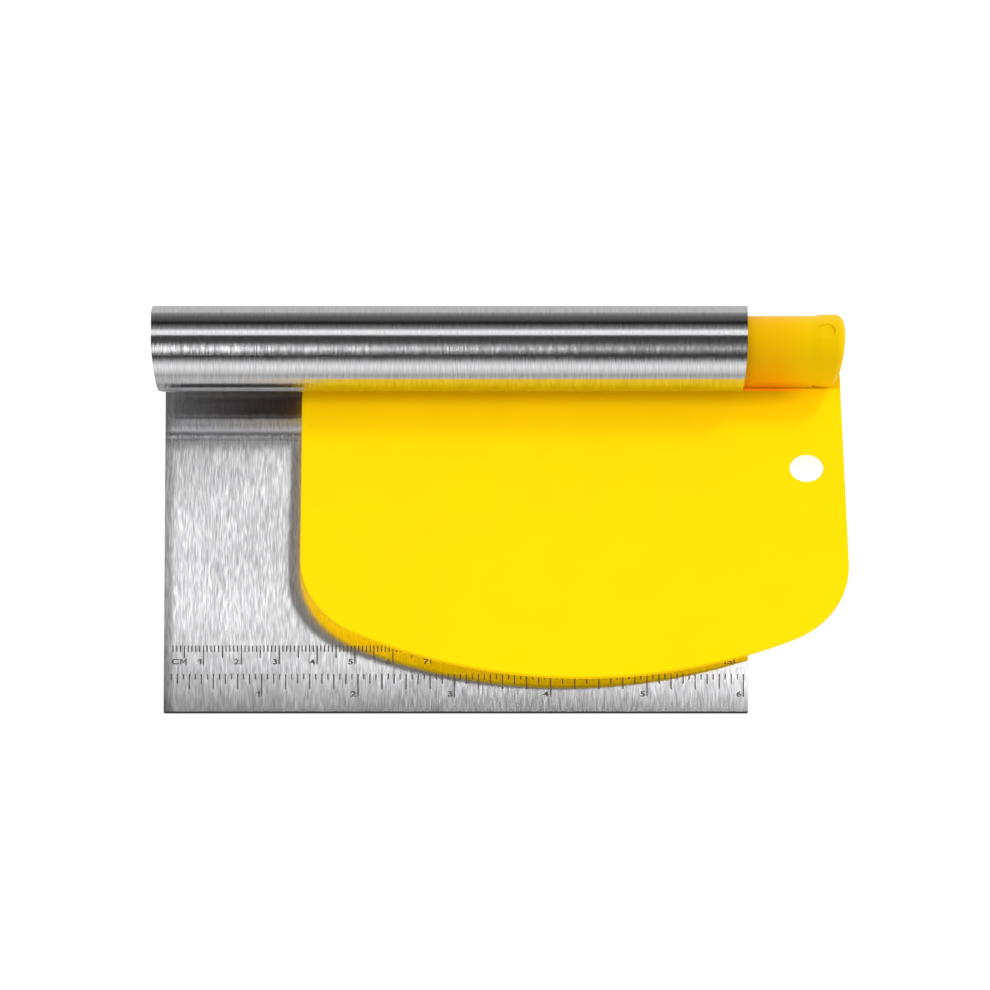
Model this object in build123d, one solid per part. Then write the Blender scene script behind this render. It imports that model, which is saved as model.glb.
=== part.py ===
"""Bench scraper with a bowl scraper stored in its rolled handle.

One stainless sheet makes a flat blade whose top edge is rolled into a round handle. The roll stops
short of the blade, so a slot stays open along the handle. A one-piece plastic bowl scraper slides in
from the right: its round core runs inside the roll and its thin blade runs out through the slot.

Frame, in millimetres: the tool lies on its back. X runs along the handle, -Y points at the scraping
edge, +Z points away from the surface it lies on. The origin is the centre of the blade's back face.
"""
from build123d import *
from math import atan2, cos, degrees, radians, sin, sqrt, tan
import os

# Steel sheet
SHEET = 1.0                    # sheet thickness
BLADE_WIDTH = 154.0            # along X
FLAT_LENGTH = 106.5            # from the scraping edge to the start of the roll
BLADE_CORNER = 0.4             # radius of the two lower corners
ROLL_RADIUS = 11.95            # outside of the rolled handle
ROLL_OVERHANG = 3.8            # how far the roll's top passes the blade's left edge
ROLL_RIGHT = 0.3               # and the roll passes its right edge
ROLL_START = -90.0             # directions are in degrees from +Y, turning up over the roll
ROLL_ARCS = ((ROLL_RADIUS, 130.0), (14.5, 155.5), (7.5, 227.0))   # radius, direction it ends at
LIP_ROUND = 0.3
TRIM_TOP = 22.6                # below this height the roll's ends slant in
RIGHT_TRIM = 6.6
LIP_CORNER_TOP = 10.7          # the lip's left corner is cut off below this height
LIP_CORNER_SLANT = 50.0

# Measuring scales, etched into the front face and filled with dark oxide
SCALE_INSET = 0.4              # zero of both scales, from the blade's left edge
ETCH_DEPTH = 0.05
ETCH_RECESS = 0.01             # the dark fill stays this far below the face
TICK_WIDTH = 0.34
CM_LINE = 20.65                # tops of the centimetre ticks, above the scraping edge
CM_LENGTHS = {10: 5.9, 5: 3.9, 1: 2.0}
CM_TICKS = 153                 # in millimetres
INCH_LINE = 11.75
INCH_LENGTHS = {16: 7.1, 4: 4.7, 2: 3.1, 1: 1.75}
INCH_TICKS = 96                # in sixteenths
FIRST_CM_TICK = 2              # the first millimetre is too close to the edge to be marked

# Bowl scraper
CORE_RADIUS = 9.2
KNOB_RADIUS = 9.6
CORE_WALL = 2.2                # the core is moulded hollow from its left end
KNOB_LEFT, KNOB_RIGHT = 94.3, 103.7
KNOB_FLARE = 2.8               # length over which the knob grows out of the core
KNOB_LEAN = 14.0               # its end face leans in below
KNOB_ROUND = 1.9
DIMPLE_X = 98.2
DIMPLE_RADIUS = 2.4
DIMPLE_DEPTH = 0.45
BOWL_THICK = 1.6
BOWL_LEFT_TOP, BOWL_RIGHT_TOP = -40.7, 101.7
BOWL_LEFT, BOWL_RIGHT = -41.3, 104.4
BOWL_BOTTOM = -44.2            # lowest point of the curved edge
BOWL_EDGE_RADIUS = 136.0
BOWL_CORNER_RADIUS = 25.0
BOWL_TWIST = 1.25              # the moulding winds this many degrees, lifting its lower left corner
BOWL_DROOP = 0.25              # and its curved edge sinks this far towards the steel
HOLE_RADIUS = 4.5
HOLE_AT = (92.8, 21.8)
ROOT_DEPTH = 7.0               # the core keeps this much of the blade's top edge
ROOT_STOP = 2.0                # the root ends this far before the core's lowest line
WEB_FROM = 208.0               # the web leaves the core in this direction from its axis
WEB_FOOT = 0.3                 # and meets the root this far behind its front
BOWL_EDGE_ROUND = 0.35

# Derived places
HALF_WIDTH = BLADE_WIDTH / 2
EDGE_Y = -FLAT_LENGTH / 2
ROLL_Y, ROLL_Z = FLAT_LENGTH / 2, ROLL_RADIUS
ROOT_Y = ROLL_Y - ROOT_DEPTH
BOWL_MID_X = (BOWL_LEFT + BOWL_RIGHT) / 2
BOWL_BACK_Z = ROLL_Z - CORE_RADIUS
BOWL_FACE_Z = BOWL_BACK_Z + BOWL_THICK


def along_x(radius, x_from, x_to):
    """Cylinder on the handle's axis."""
    place = Plane((x_from, ROLL_Y, ROLL_Z), x_dir=(0, 1, 0), z_dir=(1, 0, 0))
    return extrude(place * Circle(radius), x_to - x_from)


def block(x_range, y_range, z_range):
    """Box between two corners."""
    low, high = zip(x_range, y_range, z_range)
    size = [b - a for a, b in zip(low, high)]
    return Pos(*low) * Box(*size, align=(Align.MIN, Align.MIN, Align.MIN))


def direction(angle):
    return Vector(cos(radians(angle)), sin(radians(angle)))


def scale_ticks(line, step, first, count, lengths):
    """Etched ticks hanging down from a line; the longest length whose period fits is used."""
    zero = SCALE_INSET - HALF_WIDTH
    top = EDGE_Y + line
    half = TICK_WIDTH / 2
    ticks = []
    for number in range(first, count + 1):
        length = next(size for period, size in lengths.items() if number % period == 0)
        middle = zero + number * step
        ticks.append((middle - half, middle + half, top - length, top))
    return ticks


def etch(ticks, low, high):
    return [block((left, right), (bottom, top), (low, high)) for left, right, bottom, top in ticks]


def steel_blade(ticks):
    outline = Rectangle(BLADE_WIDTH, FLAT_LENGTH)
    lower = outline.vertices().sort_by(Axis.Y)[:2]
    plate = extrude(fillet(lower, BLADE_CORNER), SHEET)
    return plate - etch(ticks, SHEET - ETCH_DEPTH, SHEET)


def scale_fill(ticks):
    return Compound(etch(ticks, SHEET - ETCH_DEPTH, SHEET - ETCH_RECESS))


def slanted_offcut(x, height, angle, y_range):
    """What is cut away outside a line that starts at this height and slants as it goes down.

    A positive angle slants towards +X and cuts on the left; a negative one is its mirror image.
    """
    shift = height * tan(radians(angle))
    outside = x - (20 if angle > 0 else -20)
    corners = [(outside, height), (x, height), (x + shift, 0), (outside, 0)]
    face = make_face(Polyline(*corners, close=True))
    place = Plane((0, y_range[1], 0), x_dir=(1, 0, 0), z_dir=(0, -1, 0))
    return extrude(place * face, y_range[1] - y_range[0])


def rolled_handle():
    """The sheet rolls from under the axis, round the far side and over the top.

    It flattens a little on the near side, then curls in tighter and ends at the lip. Its left end
    leans out from the blade's edge to the full overhang at the top.
    """
    def roll_arcs(depth):
        centre, start, last = Vector(ROLL_Y, ROLL_Z), ROLL_START, ROLL_RADIUS
        arcs = []
        for radius, end in ROLL_ARCS:
            centre += direction(start) * (last - radius)
            stations = (start, (start + end) / 2, end)
            points = [centre + direction(angle) * (radius - depth) for angle in stations]
            arcs.append(ThreePointArc(*points))
            start, last = end, radius
        return arcs

    outside, inside = roll_arcs(0), roll_arcs(SHEET)
    lip_end = Line(outside[-1] @ 1, inside[-1] @ 1)
    root_end = Line(outside[0] @ 0, inside[0] @ 0)
    section = make_face([*outside, *inside, lip_end, root_end])
    lip_corners = section.vertices().sort_by_distance(lip_end @ 0.5)[:2]
    section = fillet(lip_corners, LIP_ROUND)
    place = Plane((-HALF_WIDTH - ROLL_OVERHANG, 0, 0), x_dir=(0, 1, 0), z_dir=(1, 0, 0))
    roll = extrude(place * section, ROLL_OVERHANG + BLADE_WIDTH + ROLL_RIGHT)
    near_side = (ROLL_Y - 2 * ROLL_RADIUS, ROLL_Y)
    both_sides = (ROLL_Y - 2 * ROLL_RADIUS, ROLL_Y + 2 * ROLL_RADIUS)
    lean = degrees(atan2(ROLL_OVERHANG, TRIM_TOP))
    corner_x = -HALF_WIDTH - ROLL_OVERHANG * LIP_CORNER_TOP / TRIM_TOP
    roll -= slanted_offcut(-HALF_WIDTH - ROLL_OVERHANG, TRIM_TOP, lean, both_sides)
    roll -= slanted_offcut(corner_x, LIP_CORNER_TOP, LIP_CORNER_SLANT, near_side)
    roll -= slanted_offcut(HALF_WIDTH + ROLL_RIGHT, TRIM_TOP, -RIGHT_TRIM, near_side)
    return roll


def wound_slab():
    """Sheet of the bowl scraper's thickness, level at the core and wound at its lower edge."""
    span = 2 * (BOWL_RIGHT - BOWL_LEFT)
    mid_z = BOWL_BACK_Z + BOWL_THICK / 2
    sections = []
    for y, turn, drop in ((ROLL_Y, 0, 0), (BOWL_BOTTOM - 1, BOWL_TWIST, BOWL_DROOP)):
        across = (cos(radians(turn)), 0, -sin(radians(turn)))
        place = Plane((BOWL_MID_X, y, mid_z - drop), x_dir=across, z_dir=(0, -1, 0))
        sections.append(place * Rectangle(span, BOWL_THICK))
    return loft(sections, ruled=True)


def bowl_outline():
    """Straight sides, a long curved edge below and two large lower corners."""
    centre_y = BOWL_BOTTOM + BOWL_EDGE_RADIUS
    reach = BOWL_RIGHT - BOWL_MID_X
    corner_y = centre_y - sqrt(BOWL_EDGE_RADIUS ** 2 - reach ** 2)
    left, right = (BOWL_LEFT, corner_y), (BOWL_RIGHT, corner_y)
    left_side = Line((BOWL_LEFT_TOP, ROLL_Y), left)
    edge = ThreePointArc(left, (BOWL_MID_X, BOWL_BOTTOM), right)
    right_side = Line(right, (BOWL_RIGHT_TOP, ROLL_Y))
    top = Line(right_side @ 1, left_side @ 0)
    face = make_face([left_side, edge, right_side, top])
    return fillet(face.vertices().sort_by(Axis.Y)[:2], BOWL_CORNER_RADIUS)


def bowl_sheet():
    """The whole thin blade, from its curved edge up to the core's axis."""
    prism = extrude(bowl_outline(), ROLL_RADIUS)
    hole = Pos(*HOLE_AT) * Cylinder(HOLE_RADIUS, 4 * ROLL_RADIUS)
    return wound_slab() & prism - hole


def rounded(blade):
    """Rounds the rims of the two faces, apart from where the blade meets the core."""
    rims = [edge for edge in blade.edges() if on_rim(edge)]
    return fillet(rims, BOWL_EDGE_ROUND)


def on_rim(edge):
    upright = abs((edge @ 1 - edge @ 0).Z) > BOWL_THICK / 2
    at_root = abs(edge.center().Y - ROOT_Y) < 0.01
    return not upright and not at_root


def bowl_blade(sheet):
    return rounded(sheet & block((-200, 200), (-200, ROOT_Y), (-50, 50)))


def core_web():
    """Wedge that fills the crevice between the core and the blade's root."""
    top = Vector(ROLL_Y, ROLL_Z) + direction(WEB_FROM) * CORE_RADIUS
    foot = Vector(ROOT_Y + WEB_FOOT, BOWL_FACE_Z)
    inside_y = ROLL_Y - ROOT_STOP - CORE_WALL
    corners = [top, foot, Vector(inside_y, foot.Y), Vector(inside_y, top.Y)]
    place = Plane((BOWL_LEFT_TOP, 0, 0), x_dir=(0, 1, 0), z_dir=(1, 0, 0))
    return extrude(place * make_face(Polyline(*corners, close=True)), KNOB_LEFT - BOWL_LEFT_TOP)


def bowl_core(sheet):
    root = sheet & block((-200, KNOB_LEFT), (ROOT_Y, ROLL_Y - ROOT_STOP), (-50, 50))
    core = along_x(CORE_RADIUS, BOWL_LEFT_TOP, KNOB_LEFT) + root + core_web()
    return core - along_x(CORE_RADIUS - CORE_WALL, BOWL_LEFT_TOP, KNOB_LEFT - CORE_WALL)


def bowl_knob(sheet):
    """The knob flares out from the core and has a shallow dimple on top."""
    flare_end = KNOB_LEFT + KNOB_FLARE
    reach = KNOB_RIGHT + KNOB_ROUND
    profile = [
        (KNOB_LEFT, 0),
        (KNOB_LEFT, CORE_RADIUS),
        (flare_end, KNOB_RADIUS),
        (reach, KNOB_RADIUS),
        (reach, 0),
    ]
    place = Plane((0, ROLL_Y, ROLL_Z), x_dir=(1, 0, 0), z_dir=(0, -1, 0))
    axis = Axis((0, ROLL_Y, ROLL_Z), (1, 0, 0))
    knob = revolve(place * make_face(Polyline(*profile, close=True)), axis)
    around = (ROLL_Y - 2 * KNOB_RADIUS, ROLL_Y + 2 * KNOB_RADIUS)
    knob -= slanted_offcut(KNOB_RIGHT, ROLL_Z + KNOB_RADIUS, -KNOB_LEAN, around)
    knob = fillet(knob.faces().sort_by(Axis.X)[-1].edges(), KNOB_ROUND)
    root = sheet & block((KNOB_LEFT, 200), (ROOT_Y, ROLL_Y), (-50, 50))
    dimple_z = ROLL_Z + KNOB_RADIUS - DIMPLE_DEPTH
    dimple = Pos(DIMPLE_X, ROLL_Y, dimple_z) * Cylinder(
        DIMPLE_RADIUS, ROLL_RADIUS, align=(Align.CENTER, Align.CENTER, Align.MIN))
    return knob + root - dimple


cm_ticks = scale_ticks(CM_LINE, 1.0, FIRST_CM_TICK, CM_TICKS, CM_LENGTHS)
inch_ticks = scale_ticks(INCH_LINE, 25.4 / 16, 1, INCH_TICKS, INCH_LENGTHS)
sheet = bowl_sheet()

nodes = {
    "steel_blade": steel_blade(cm_ticks + inch_ticks),
    "rolled_handle": rolled_handle(),
    "cm_scale": scale_fill(cm_ticks),
    "inch_scale": scale_fill(inch_ticks),
    "bowl_scraper_blade": bowl_blade(sheet),
    "bowl_scraper_core": bowl_core(sheet),
    "bowl_scraper_knob": bowl_knob(sheet),
}

os.makedirs("parts", exist_ok=True)
for name, shape in nodes.items():
    export_step(shape, f"parts/{name}.step")
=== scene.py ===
"""Looks for the bench scraper: materials, engraved numerals, studio and camera.

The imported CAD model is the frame. The tool lies on its back: X runs along the handle, -Y points at
the scraping edge and +Z points up. Everything here is in metres.
"""

import math

import bmesh
import bpy
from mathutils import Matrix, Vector


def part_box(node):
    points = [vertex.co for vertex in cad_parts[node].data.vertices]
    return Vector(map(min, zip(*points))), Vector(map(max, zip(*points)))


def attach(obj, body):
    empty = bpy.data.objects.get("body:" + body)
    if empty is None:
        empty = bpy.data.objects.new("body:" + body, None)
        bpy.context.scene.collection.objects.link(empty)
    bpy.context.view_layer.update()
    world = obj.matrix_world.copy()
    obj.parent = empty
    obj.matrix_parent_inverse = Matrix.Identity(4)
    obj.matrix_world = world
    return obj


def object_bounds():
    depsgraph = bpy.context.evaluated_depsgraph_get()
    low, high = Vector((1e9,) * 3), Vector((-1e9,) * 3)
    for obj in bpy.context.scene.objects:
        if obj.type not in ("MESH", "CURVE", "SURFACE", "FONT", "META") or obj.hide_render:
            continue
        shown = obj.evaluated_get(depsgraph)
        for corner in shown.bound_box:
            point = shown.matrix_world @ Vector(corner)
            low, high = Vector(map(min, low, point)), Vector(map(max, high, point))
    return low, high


MM = 0.001
INCH = 0.0254
NOISE_MIDDLE = (0.3, 0.7)        # nearly all values of a noise lie between these

# Steel
STEEL = (0.62, 0.62, 0.63)
STEEL_ROUGHNESS = 0.19
STEEL_WEAR = 0.01                # the roughness varies by this much in lines, and again in clouds
LINE_WIDTH = 0.24 * MM           # of the brushed lines
LEANING_LINE_WIDTH = 0.288 * MM  # of the lines that lean to one side
WORN_LINE_WIDTH = 0.8 * MM       # of the lines that are rougher or smoother
WORN_LINE_STRETCH = 3            # and they are this many times as long as the others
STEEL_CLOUD_SIZE = 30 * MM
STREAK_CONTRAST = 0.14           # the brushed lines are this much lighter or darker
EDGE_SHADE_FROM = 45 * MM              # painted shade: the blade's colour darkens towards its scraping edge, in place of its reflection falling off, from this far away
EDGE_SHADE_AMOUNT = 0.72               # and this much darker at the edge
EDGE_SHADE_CURVE = 2.5                 # most of that close to the edge
ROLLED_OVER = 2.5 * MM           # the blade's left edge is rolled over a little
ROLLED_TILT = 0.18               # and its face leans this far out there
SHEARED = 0.16                   # how dark the sheet's sheared edges are, as a share of its faces
SHEARED_ROUGHNESS = 0.3          # and how much rougher
FACING = 0.8                     # a face looks along an axis if its normal has this much of it

# Plastic
YELLOW = (0.87, 0.55, 0.001)
YELLOW_CONTRAST = 0.015          # faint clouds in the moulding are this much lighter or darker
YELLOW_CLOUD_SIZE = 14 * MM
YELLOW_SPECULAR = 0.15
YELLOW_SPECULAR_TINT = (1.0, 0.85, 0.1, 1.0)
SATIN = (0.36, 0.44)             # smoothest and roughest
GRAIN_SIZE = 0.35 * MM
GRAIN_DEPTH = 0.006 * MM
CORE_SHADE_YELLOW = (0.88, 0.30, 0.001)    # painted shade: the core is darker and more orange towards its foot, above its crease with the blade
CORE_SHADE_FROM, CORE_SHADE_TO = 4 * MM, 28 * MM    # between these heights
KNOB_FADE = 9 * MM               # the painted shade on the core and the painted shadow at the blade's root fade out over this length at the knob
ROOT_SHADE = 0.6                 # painted shadow: the blade is darker at its root, under the handle's lip, as a share of the yellow
ROOT_FADE = 5 * MM               # and fades to plain yellow over this length
ROOT_START = 1.4 * MM            # from this far behind the core's front
ROOT_TOP = 5.5 * MM              # above this height it is the core
BOX_MARGIN = 0.1 * MM            # keeps the core's front clear of rounding

# Etched marks
INK = (0.085, 0.078, 0.066)
INK_RANGE = (0.75, 1.3)          # darkest and lightest, as a share of the ink
INK_ROUGHNESS = (0.55, 0.7)
MOTTLE_SIZE = 0.3 * MM
MOTTLE_DEPTH = 0.004 * MM

# Numerals beside the two scales
CM_LAST_TICK = 153 * MM          # from the scales' zero
INCH_LAST_TICK = 6 * INCH
HALF_TICK = 0.17 * MM
NUMERAL_HEIGHT = 1.7 * MM
NUMERAL_STRETCH = 1.3            # the numerals are wider than the font draws them
NUMERAL_GAP = 0.33 * MM          # from a numeral to the tick on its right
NUMERAL_SPACING = 0.16           # between two characters, as a share of their height
NUMERAL_WEIGHT = 0.022           # thickens the font's strokes
NUMERAL_RISE = 0.012 * MM        # the dark oxide stands this far above the steel
NUMERAL_DEPTH = 0.03 * MM
CM_LABEL_AT = 1.6 * MM           # left end of the unit's name, from the scales' zero
# Outlines of the characters that the font draws badly at this size, one unit tall
DRAWN = {
    "1": ((0.28, 0), (0.46, 0), (0.46, 1), (0.32, 1), (0, 0.76), (0, 0.60), (0.28, 0.80)),
    "M": ((0, 0), (0.14, 0), (0.14, 0.66), (0.33, 0.25), (0.43, 0.25), (0.62, 0.66), (0.62, 0),
          (0.76, 0), (0.76, 1), (0.60, 1), (0.38, 0.52), (0.16, 1), (0, 1)),
}

# Studio
CAMERA_ELEVATION = 57.0
CAMERA_DISTANCE = 8.0
VIEW_WIDTH = 261.6 * MM          # what the frame takes in at the object
VIEW_OFFSET = Vector((-1.20 * MM, 1.4 * MM))    # right and up, from the middle of the object
KEY_DIRECTION = Vector((0.83, 0.82, 1.0)).normalized()
SHEEN_DIRECTION = Vector((0.83, 0.65, 1.0)).normalized()
KEY_DISTANCE = 3.0
KEY_SIZE = 0.75
SENSOR_WIDTH = 36.0              # in millimetres, as the lens
FLOOR_SIZE = 60.0
FLOOR_GREY = 0.40
FLOOR_ROUGHNESS = 0.9
FLOOR_GLOW = 0.80
FLOOR_GLOW_IN_STEEL = 0.25       # the steel sees a darker table, so that it keeps its outline
AMBIENT = 0.84                   # brightness of the surroundings on matt surfaces
BACKDROP = 1.1                   # and as the camera sees them

# The studio as polished steel sees it, from the front horizon (0) over the top (90) to the back (180)
STUDIO_TONES = (
    (0, 0.46), (5, 0.70), (12, 0.97), (20, 1.18), (27, 0.95), (32, 0.62), (35, 0.10), (38, 0.01),
    (46, 0.01), (52, 0.09), (58, 0.20), (65, 0.32), (71, 0.22), (77, 0.11), (84, 0.06), (96, 0.03),
    (100, 1.30), (110, 1.34), (115, 0.42), (122, 0.22), (128, 0.08), (131, 0.01), (137, 0.01),
    (141, 0.08), (158, 0.18), (170, 0.38), (180, 0.90),
)
SIDE_TONE = 0.45                 # past the ends of the handle
SIDE_FROM, SIDE_TO = 0.6, 0.9    # the sides take over where X makes up this share of a direction


# Node helpers

def add(tree, kind, **inputs):
    """Adds a shader node. An input is a value, or the output that feeds it."""
    node = tree.nodes.new("ShaderNode" + kind)
    for name, value in inputs.items():
        join(tree, value, node.inputs[name.replace("_", " ")])
    return node


def join(tree, value, socket):
    """Gives a socket a value, or feeds it from another socket."""
    if isinstance(value, bpy.types.NodeSocket):
        tree.links.new(value, socket)
    else:
        socket.default_value = value


def calculate(tree, operation, *values):
    """Arithmetic on one, two or three numbers."""
    node = tree.nodes.new("ShaderNodeMath")
    node.operation = operation
    for value, socket in zip(values, node.inputs):
        join(tree, value, socket)
    return node.outputs[0]


def multiply(tree, first, *others):
    """The product of numbers that aren't all fixed."""
    for other in others:
        first = calculate(tree, "MULTIPLY", first, other)
    return first


def combine(tree, operation, first, second=None):
    """Vector arithmetic. Scaling takes a number as its second value."""
    node = tree.nodes.new("ShaderNodeVectorMath")
    node.operation = operation
    join(tree, first, node.inputs[0])
    if second is not None:
        join(tree, second, node.inputs["Scale"] if operation == "SCALE" else node.inputs[1])
    return node.outputs[0]


def mix_colours(tree, share, first, second):
    """The first colour where the share is 0, and the second where it is 1."""
    node = tree.nodes.new("ShaderNodeMix")
    node.data_type = "RGBA"
    factor, a, b = node.inputs[0], node.inputs[6], node.inputs[7]
    for value, socket in zip((share, first, second), (factor, a, b)):
        join(tree, value, socket)
    return node.outputs[2]


def spread(tree, value, low, high):
    """Takes the useful middle of a noise to the range from low to high."""
    node = add(tree, "MapRange", Value=value, To_Min=low, To_Max=high)
    node.inputs["From Min"].default_value, node.inputs["From Max"].default_value = NOISE_MIDDLE
    return node.outputs[0]


def fade(tree, value, start, end):
    """1 up to the start, falling to 0 at the end."""
    node = add(tree, "MapRange", Value=value, From_Min=start, From_Max=end, To_Min=1.0, To_Max=0.0)
    return node.outputs[0]


def shade(colour, amount):
    """The colour, darker or lighter, with its alpha."""
    return tuple(min(1.0, channel * amount) for channel in colour) + (1.0,)


def noise(tree, place, size, detail=2.0):
    """Noise whose grains have this size along X, Y and Z."""
    scaled = add(tree, "Mapping", Vector=place, Scale=tuple(1 / length for length in size))
    return add(tree, "TexNoise", Vector=scaled.outputs[0], Scale=1.0, Detail=detail).outputs[0]


def new_material(name):
    """Returns a material, its node tree, its Principled shader and the object's own coordinates."""
    material = bpy.data.materials.new(name)
    material.use_nodes = True
    tree = material.node_tree
    shader = tree.nodes["Principled BSDF"]
    place = add(tree, "TexCoord").outputs["Object"]
    return material, tree, shader, place


def bump(tree, height, distance):
    """Normal of a surface whose relief is this deep."""
    return add(tree, "Bump", Height=height, Distance=distance, Strength=1.0).outputs[0]


# Materials

def cut_edges(tree, axes):
    """1 on faces that look along one of the axes, and 0 elsewhere."""
    facing = add(tree, "SeparateXYZ", Vector=add(tree, "TexCoord").outputs["Normal"]).outputs
    share = 0.0
    for axis in axes:
        turned = calculate(tree, "ABSOLUTE", facing[axis])
        share = calculate(tree, "MAXIMUM", share, calculate(tree, "GREATER_THAN", turned, FACING))
    return share


def brushed_steel(name, line_length, lean, dip, sheared_axes, sheet_corner=None):
    """Stainless sheet brushed at right angles to X, so its reflections smear along X.

    Each brushed line leans a little to one side and dips along its length, which makes it glint.
    Faces that look along the sheared axes are the sheet's cut edges, which are dark and rough.
    A sheet that gives its corner at low X and Y is rolled over at that X, and gets painted shade
    along that Y, which darkens its reflection towards the scraping edge.
    """
    material, tree, shader, place = new_material(name)
    lines = noise(tree, place, (LINE_WIDTH, line_length, line_length))
    sides = noise(tree, place, (LEANING_LINE_WIDTH, line_length, line_length))
    worn_length = WORN_LINE_STRETCH * line_length
    worn = noise(tree, place, (WORN_LINE_WIDTH, worn_length, worn_length))
    cloud = noise(tree, place, (STEEL_CLOUD_SIZE,) * 3, detail=1.0)
    dark, light = shade(STEEL, 1 - STREAK_CONTRAST), shade(STEEL, 1 + STREAK_CONTRAST)
    colour = mix_colours(tree, spread(tree, lines, 0.0, 1.0), dark, light)
    across = add(tree, "CombineXYZ", X=1.0, Y=0.0, Z=0.0).outputs[0]
    normal = add(tree, "NewGeometry").outputs["Normal"]
    along = combine(tree, "CROSS_PRODUCT", across, normal)
    tilts = [(across, spread(tree, sides, -lean, lean)), (along, spread(tree, lines, -dip, dip))]
    if sheet_corner is not None:
        at = add(tree, "SeparateXYZ", Vector=place).outputs
        # painted shade: the colour darkens towards the scraping edge, in place of the reflection
        # falling off there
        edge_shade = fade(tree, at["Y"], sheet_corner.y, sheet_corner.y + EDGE_SHADE_FROM)
        edge_shade = multiply(tree, calculate(tree, "POWER", edge_shade, EDGE_SHADE_CURVE), EDGE_SHADE_AMOUNT)
        colour = mix_colours(tree, edge_shade, colour, shade(STEEL, 0.0))
        rolled = fade(tree, at["X"], sheet_corner.x, sheet_corner.x + ROLLED_OVER)
        rolled = multiply(tree, calculate(tree, "SQRT", rolled), -ROLLED_TILT)
        tilts.append((across, rolled))
    sheared = cut_edges(tree, sheared_axes)
    colour = mix_colours(tree, sheared, colour, shade(STEEL, SHEARED))
    join(tree, colour, shader.inputs["Base Color"])
    shader.inputs["Metallic"].default_value = 1.0
    roughness = STEEL_ROUGHNESS
    for pattern in (worn, cloud):
        roughness = calculate(tree, "ADD", spread(tree, pattern, -STEEL_WEAR, STEEL_WEAR), roughness)
    roughness = calculate(tree, "MULTIPLY_ADD", sheared, SHEARED_ROUGHNESS, roughness)
    join(tree, roughness, shader.inputs["Roughness"])
    shader.inputs["Anisotropic"].default_value = 1.0
    tangent = combine(tree, "ADD", across, combine(tree, "SCALE", (0, 1, 1), sheared))
    join(tree, tangent, shader.inputs["Tangent"])
    for direction, amount in tilts:
        normal = combine(tree, "ADD", normal, combine(tree, "SCALE", direction, amount))
    join(tree, combine(tree, "NORMALIZE", normal), shader.inputs["Normal"])
    return material


def moulded_plastic(name):
    """Satin yellow polypropylene with the fine grain of its mould, with painted shade on the core's
    lower part and a painted shadow along the blade's root.
    """
    material, tree, shader, place = new_material(name)
    cloud = noise(tree, place, (YELLOW_CLOUD_SIZE,) * 3)
    grain = noise(tree, place, (GRAIN_SIZE,) * 3, detail=3.0)
    dark, light = shade(YELLOW, 1 - YELLOW_CONTRAST), shade(YELLOW, 1 + YELLOW_CONTRAST)
    colour = mix_colours(tree, spread(tree, cloud, 0.0, 1.0), dark, light)
    on_core, painted_root_shadow = core_and_root(tree, place)
    height = add(tree, "SeparateXYZ", Vector=place).outputs["Z"]
    # painted shade: the core's lower part turns darker and more orange towards its foot
    core_shade = multiply(tree, on_core, fade(tree, height, CORE_SHADE_FROM, CORE_SHADE_TO))
    # painted shadow along the blade's root, under the handle's lip
    colour = mix_colours(tree, painted_root_shadow, colour, shade(YELLOW, ROOT_SHADE))
    colour = mix_colours(tree, core_shade, colour, shade(CORE_SHADE_YELLOW, 1.0))
    join(tree, colour, shader.inputs["Base Color"])
    shader.inputs["Specular IOR Level"].default_value = YELLOW_SPECULAR
    shader.inputs["Specular Tint"].default_value = YELLOW_SPECULAR_TINT
    join(tree, spread(tree, grain, *SATIN), shader.inputs["Roughness"])
    join(tree, bump(tree, grain, GRAIN_DEPTH), shader.inputs["Normal"])
    return material


def core_and_root(tree, place):
    """Two shares that fade out at the knob: of the round core, which takes painted shade, and of the
    blade next to its root, which takes a painted shadow.
    """
    at = add(tree, "SeparateXYZ", Vector=place).outputs
    knob_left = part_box("bowl_scraper_knob")[0].x
    core_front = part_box("bowl_scraper_core")[0].y
    root = core_front + ROOT_START
    before_knob = fade(tree, at["X"], knob_left - KNOB_FADE, knob_left)
    above_root = calculate(tree, "GREATER_THAN", at["Z"], ROOT_TOP)
    behind_root = calculate(tree, "GREATER_THAN", at["Y"], root)
    behind_front = calculate(tree, "GREATER_THAN", at["Y"], core_front - BOX_MARGIN)
    core = calculate(tree, "MAXIMUM", behind_root, multiply(tree, behind_front, above_root))
    # painted shadow: the blade's share next to its root, under the handle's lip
    beside_root = fade(tree, at["Y"], root, root - ROOT_FADE)
    blade = multiply(tree, beside_root, calculate(tree, "SUBTRACT", 1.0, core))
    return multiply(tree, core, before_knob), multiply(tree, blade, before_knob)


def etched_oxide():
    """Dull dark oxide that electro-etching leaves in the marks."""
    material, tree, shader, place = new_material("etched_oxide")
    mottle = noise(tree, place, (MOTTLE_SIZE,) * 3)
    dark, light = (shade(INK, amount) for amount in INK_RANGE)
    colour = mix_colours(tree, spread(tree, mottle, 0.0, 1.0), dark, light)
    join(tree, colour, shader.inputs["Base Color"])
    join(tree, spread(tree, mottle, *INK_ROUGHNESS), shader.inputs["Roughness"])
    join(tree, bump(tree, mottle, MOTTLE_DEPTH), shader.inputs["Normal"])
    return material


def finish_node(node, material):
    """Gives a CAD node its material."""
    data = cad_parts[node].data
    data.materials.clear()
    data.materials.append(material)


# Numerals

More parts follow.
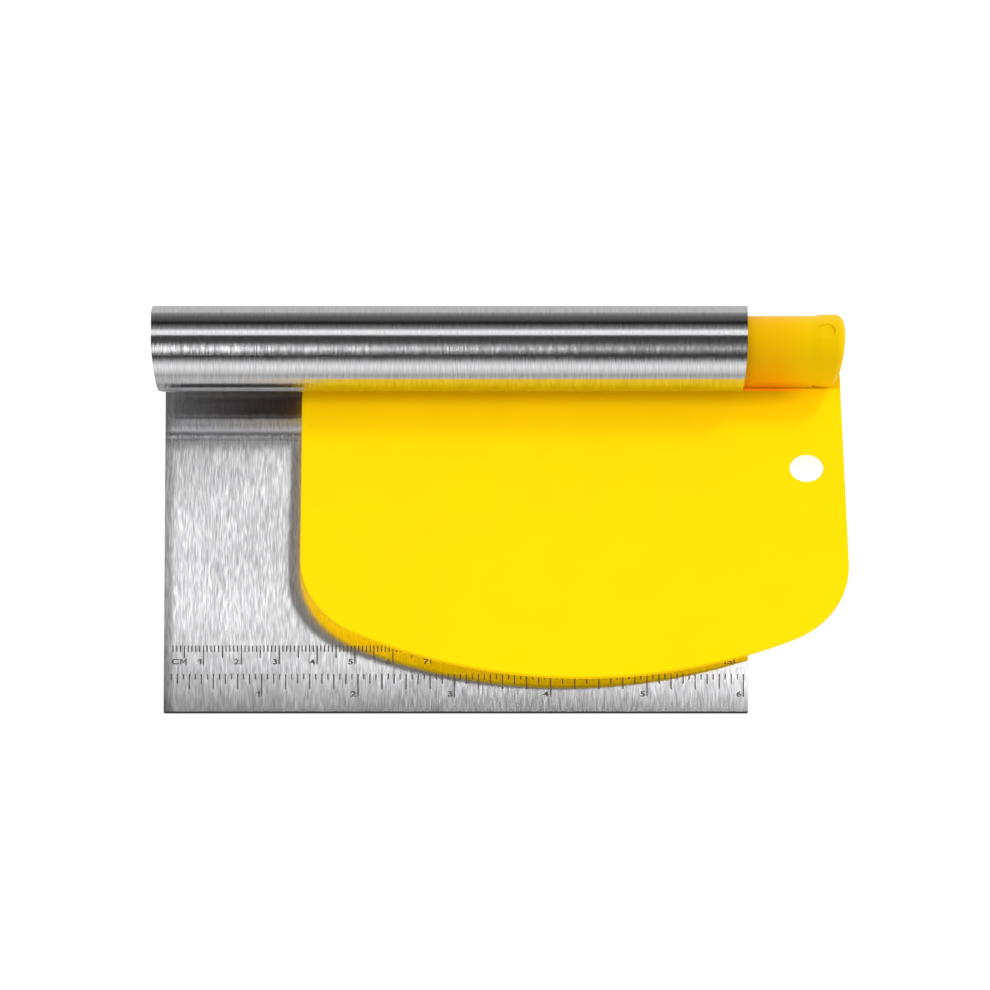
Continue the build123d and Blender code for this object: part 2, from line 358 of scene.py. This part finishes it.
def glyph(character):
    """Points and faces of one character, one unit tall, with its left end at x = 0."""
    if character in DRAWN:
        outline = DRAWN[character]
        return [Vector(point) for point in outline], [list(range(len(outline)))]
    curve = bpy.data.curves.new("glyph", "FONT")
    curve.body = character
    curve.offset = NUMERAL_WEIGHT
    curve.resolution_u = 6
    draft = bpy.data.objects.new("glyph", curve)
    bpy.context.scene.collection.objects.link(draft)
    drawn = draft.evaluated_get(bpy.context.evaluated_depsgraph_get())
    mesh = bpy.data.meshes.new_from_object(drawn)
    bpy.data.objects.remove(draft)
    points = [vertex.co.to_2d() for vertex in mesh.vertices]
    corner = Vector((min(point.x for point in points), min(point.y for point in points)))
    height = max(point.y for point in points) - corner.y
    loops = [list(face.vertices) for face in mesh.polygons]
    return [(point - corner) / height for point in points], loops


def lettering(text, bottom, left=None, right=None):
    """Points and faces of a text that stands on a line and starts or ends at a place along X."""
    points, faces, cursor = [], [], 0.0
    for character in text:
        outline, loops = glyph(character)
        faces += [[len(points) + index for index in loop] for loop in loops]
        points += [point + Vector((cursor, 0)) for point in outline]
        cursor = max(point.x for point in points) + NUMERAL_SPACING
    tall, wide = NUMERAL_HEIGHT, NUMERAL_HEIGHT * NUMERAL_STRETCH
    start = left if right is None else right - wide * (cursor - NUMERAL_SPACING)
    return [Vector((start + wide * point.x, bottom + tall * point.y)) for point in points], faces


def raised(name, outlines, top):
    """One piece made of flat outlines, filled down into the steel."""
    shape = bmesh.new()
    for points, faces in outlines:
        corners = [shape.verts.new((point.x, point.y, top)) for point in points]
        for face in faces:
            shape.faces.new([corners[index] for index in face])
    bmesh.ops.remove_doubles(shape, verts=shape.verts[:], dist=0.001 * MM)
    sides = bmesh.ops.extrude_face_region(shape, geom=shape.faces[:])["geom"]
    sunk = [item for item in sides if isinstance(item, bmesh.types.BMVert)]
    bmesh.ops.translate(shape, verts=sunk, vec=(0, 0, -NUMERAL_DEPTH))
    bmesh.ops.recalc_face_normals(shape, faces=shape.faces[:])
    data = bpy.data.meshes.new(name)
    shape.to_mesh(data)
    shape.free()
    piece = bpy.data.objects.new(name, data)
    bpy.context.scene.collection.objects.link(piece)
    return piece


def numerals(name, scale_node, last_tick, unit, count, label=None):
    """Numbers that stand left of a scale's long ticks, level with the ticks' lower ends."""
    low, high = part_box(scale_node)
    zero = high.x - HALF_TICK - last_tick
    gap = HALF_TICK + NUMERAL_GAP
    outlines = [lettering(str(n), low.y, right=zero + n * unit - gap) for n in range(1, count + 1)]
    if label:
        outlines.append(lettering(label, low.y, left=zero + CM_LABEL_AT))
    piece = raised(name, outlines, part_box("steel_blade")[1].z + NUMERAL_RISE)
    piece.data.materials.append(ink)
    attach(piece, "steel_body")


# Studio

def lamp(name, direction, distance, size, power, tall=None):
    """Soft lamp that stands in a direction from the middle of the object and faces it.

    It is a disk, or a rectangle if it says how tall it is. Power is in watts.
    """
    data = bpy.data.lights.new(name, "AREA")
    data.shape = "DISK" if tall is None else "RECTANGLE"
    data.size = size
    if tall is not None:
        data.size_y = tall
    data.energy = power
    light = bpy.data.objects.new(name, data)
    light.location = middle + direction * distance
    light.rotation_euler = direction.to_track_quat("Z", "Y").to_euler()
    light.visible_camera = False
    bpy.context.scene.collection.objects.link(light)
    return light


def matt_lamp(name, *where, receiver=None, blocker=None, **values):
    """Lamp that lights matt surfaces and leaves no highlight, on one piece or on everything."""
    light = lamp(name, *where, **values)
    light.visible_glossy = False
    if receiver:
        light.light_linking.receiver_collection = only(name + "_receivers", receiver)
    if blocker:
        light.light_linking.blocker_collection = only(name + "_blockers", blocker)


def steel_lamp(name, node, *where, **values):
    """Lamp that only shows as a highlight on one steel piece."""
    light = lamp(name, *where, **values)
    light.visible_diffuse = False
    light.light_linking.receiver_collection = only(name + "_receivers", node)


def only(name, node):
    """Collection that holds one piece."""
    group = bpy.data.collections.new(name)
    group.objects.link(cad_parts[node])
    return group


def around_x(degrees, sideways=0.0):
    """Direction that is so many degrees above the front horizon, leaning sideways to +X."""
    angle = math.radians(degrees)
    return Vector((sideways, -math.cos(angle), math.sin(angle))).normalized()


def studio_floor(height):
    """Backlit white table: pale, and its shadows are faint."""
    half = FLOOR_SIZE / 2
    data = bpy.data.meshes.new("floor")
    corners = [(x, y, height) for x, y in ((-half, -half), (half, -half), (half, half), (-half, half))]
    data.from_pydata(corners, [], [(0, 1, 2, 3)])
    floor = bpy.data.objects.new("floor", data)
    bpy.context.scene.collection.objects.link(floor)
    material, tree, shader, _ = new_material("pale_table")
    shader.inputs["Base Color"].default_value = (FLOOR_GREY, FLOOR_GREY, FLOOR_GREY, 1.0)
    shader.inputs["Roughness"].default_value = FLOOR_ROUGHNESS
    shader.inputs["Specular IOR Level"].default_value = 0.0
    shader.inputs["Emission Color"].default_value = (1.0, 1.0, 1.0, 1.0)
    in_mirror = add(tree, "LightPath").outputs["Is Glossy Ray"]
    glow = calculate(tree, "MULTIPLY_ADD", in_mirror, FLOOR_GLOW_IN_STEEL - FLOOR_GLOW, FLOOR_GLOW)
    join(tree, glow, shader.inputs["Emission Strength"])
    data.materials.append(material)


def studio_world():
    """White surroundings, with soft panels and dark gaps that only reflections see."""
    world = bpy.data.worlds.new("studio")
    bpy.context.scene.world = world
    world.use_nodes = True
    tree = world.node_tree
    output = tree.nodes["World Output"]
    direction = add(tree, "TexCoord").outputs["Generated"]
    parts = add(tree, "SeparateXYZ", Vector=direction).outputs
    angle = calculate(tree, "ARCTAN2", parts["Z"], multiply(tree, parts["Y"], -1.0))
    share = calculate(tree, "DIVIDE", angle, math.pi)
    ramp = add(tree, "ValToRGB", Fac=share)
    tones = ramp.color_ramp
    tones.interpolation = "LINEAR"
    while len(tones.elements) < len(STUDIO_TONES):
        tones.elements.new(1.0)
    for element, (degrees, tone) in zip(tones.elements, STUDIO_TONES):
        element.position = degrees / 180
        element.color = (tone, tone, tone, 1.0)
    facing = fade(tree, calculate(tree, "ABSOLUTE", parts["X"]), SIDE_FROM, SIDE_TO)
    tone = mix_colours(tree, facing, (SIDE_TONE, SIDE_TONE, SIDE_TONE, 1.0), ramp.outputs[0])
    reflected = add(tree, "Background", Color=tone, Strength=1.0).outputs[0]
    around = add(tree, "Background", Color=(1, 1, 1, 1), Strength=AMBIENT).outputs[0]
    seen = add(tree, "Background", Color=(1, 1, 1, 1), Strength=BACKDROP).outputs[0]
    path = add(tree, "LightPath").outputs
    lit = tree.nodes.new("ShaderNodeMixShader")
    shown = tree.nodes.new("ShaderNodeMixShader")
    for socket, value in zip(lit.inputs, (path["Is Glossy Ray"], around, reflected)):
        join(tree, value, socket)
    for socket, value in zip(shown.inputs, (path["Is Camera Ray"], lit.outputs[0], seen)):
        join(tree, value, socket)
    join(tree, shown.outputs[0], output.inputs["Surface"])


def studio_camera():
    """Long lens at the height from which the tool is seen."""
    rise = math.radians(CAMERA_ELEVATION)
    back = Vector((0, -math.cos(rise), math.sin(rise)))
    up = Vector((0, math.sin(rise), math.cos(rise)))
    data = bpy.data.cameras.new("camera")
    data.sensor_width = SENSOR_WIDTH
    data.lens = SENSOR_WIDTH * CAMERA_DISTANCE / VIEW_WIDTH
    data.clip_end = 100.0
    camera = bpy.data.objects.new("camera", data)
    target = middle + VIEW_OFFSET.x * Vector((1, 0, 0)) + VIEW_OFFSET.y * up
    camera.location = target + back * CAMERA_DISTANCE
    camera.rotation_euler = back.to_track_quat("Z", "Y").to_euler()
    bpy.context.scene.collection.objects.link(camera)
    bpy.context.scene.camera = camera


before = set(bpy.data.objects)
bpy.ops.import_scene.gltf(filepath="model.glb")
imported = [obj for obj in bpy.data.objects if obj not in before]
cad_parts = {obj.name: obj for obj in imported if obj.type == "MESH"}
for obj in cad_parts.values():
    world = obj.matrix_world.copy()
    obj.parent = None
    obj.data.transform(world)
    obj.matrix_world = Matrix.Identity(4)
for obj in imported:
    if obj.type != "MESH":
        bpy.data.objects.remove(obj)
cad_low, cad_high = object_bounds()
middle = (cad_low + cad_high) / 2

blade_steel = brushed_steel(
    "brushed_steel_blade", line_length=3.5 * MM, lean=0.035, dip=0.010, sheared_axes="XY",
    sheet_corner=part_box("steel_blade")[0],
)
roll_steel = brushed_steel(
    "brushed_steel_roll", line_length=4.0 * MM, lean=0.08, dip=0.008, sheared_axes="X",
)
plastic = moulded_plastic("yellow_plastic")
ink = etched_oxide()
finish_node("steel_blade", blade_steel)
finish_node("rolled_handle", roll_steel)
for scale in ("cm_scale", "inch_scale"):
    finish_node(scale, ink)
for moulding in ("bowl_scraper_blade", "bowl_scraper_core", "bowl_scraper_knob"):
    finish_node(moulding, plastic)

numerals("cm_numerals", "cm_scale", CM_LAST_TICK, 10 * MM, 15, label="CM")
numerals("inch_numerals", "inch_scale", INCH_LAST_TICK, INCH, 6)

studio_floor(cad_low.z)
studio_world()
matt_lamp("key", KEY_DIRECTION, KEY_DISTANCE, KEY_SIZE, power=30.0)
matt_lamp("front_fill", around_x(45), distance=2.0, size=1.0, power=24.0, receiver="bowl_scraper_blade")
matt_lamp(
    "under_glow", Vector((0, 0, -1)), distance=1.2, size=0.30, power=20.0,
    receiver="bowl_scraper_blade", blocker="bowl_scraper_knob",
)
steel_lamp("blade_sheen", "steel_blade", SHEEN_DIRECTION, KEY_DISTANCE, KEY_SIZE, power=172.0)
steel_lamp(
    "blade_fill", "steel_blade", around_x(118), distance=1.0, size=0.7, tall=0.32, power=0.09,
)
steel_lamp(
    "blade_top_panel", "steel_blade", around_x(84), distance=1.0, size=0.9, tall=0.9, power=1.4,
)
steel_lamp(
    "roll_left_card", "rolled_handle", around_x(66, -0.40), distance=0.55, size=0.22, tall=0.20,
    power=0.28,
)
studio_camera()
bpy.context.scene.view_settings.view_transform = "Standard"
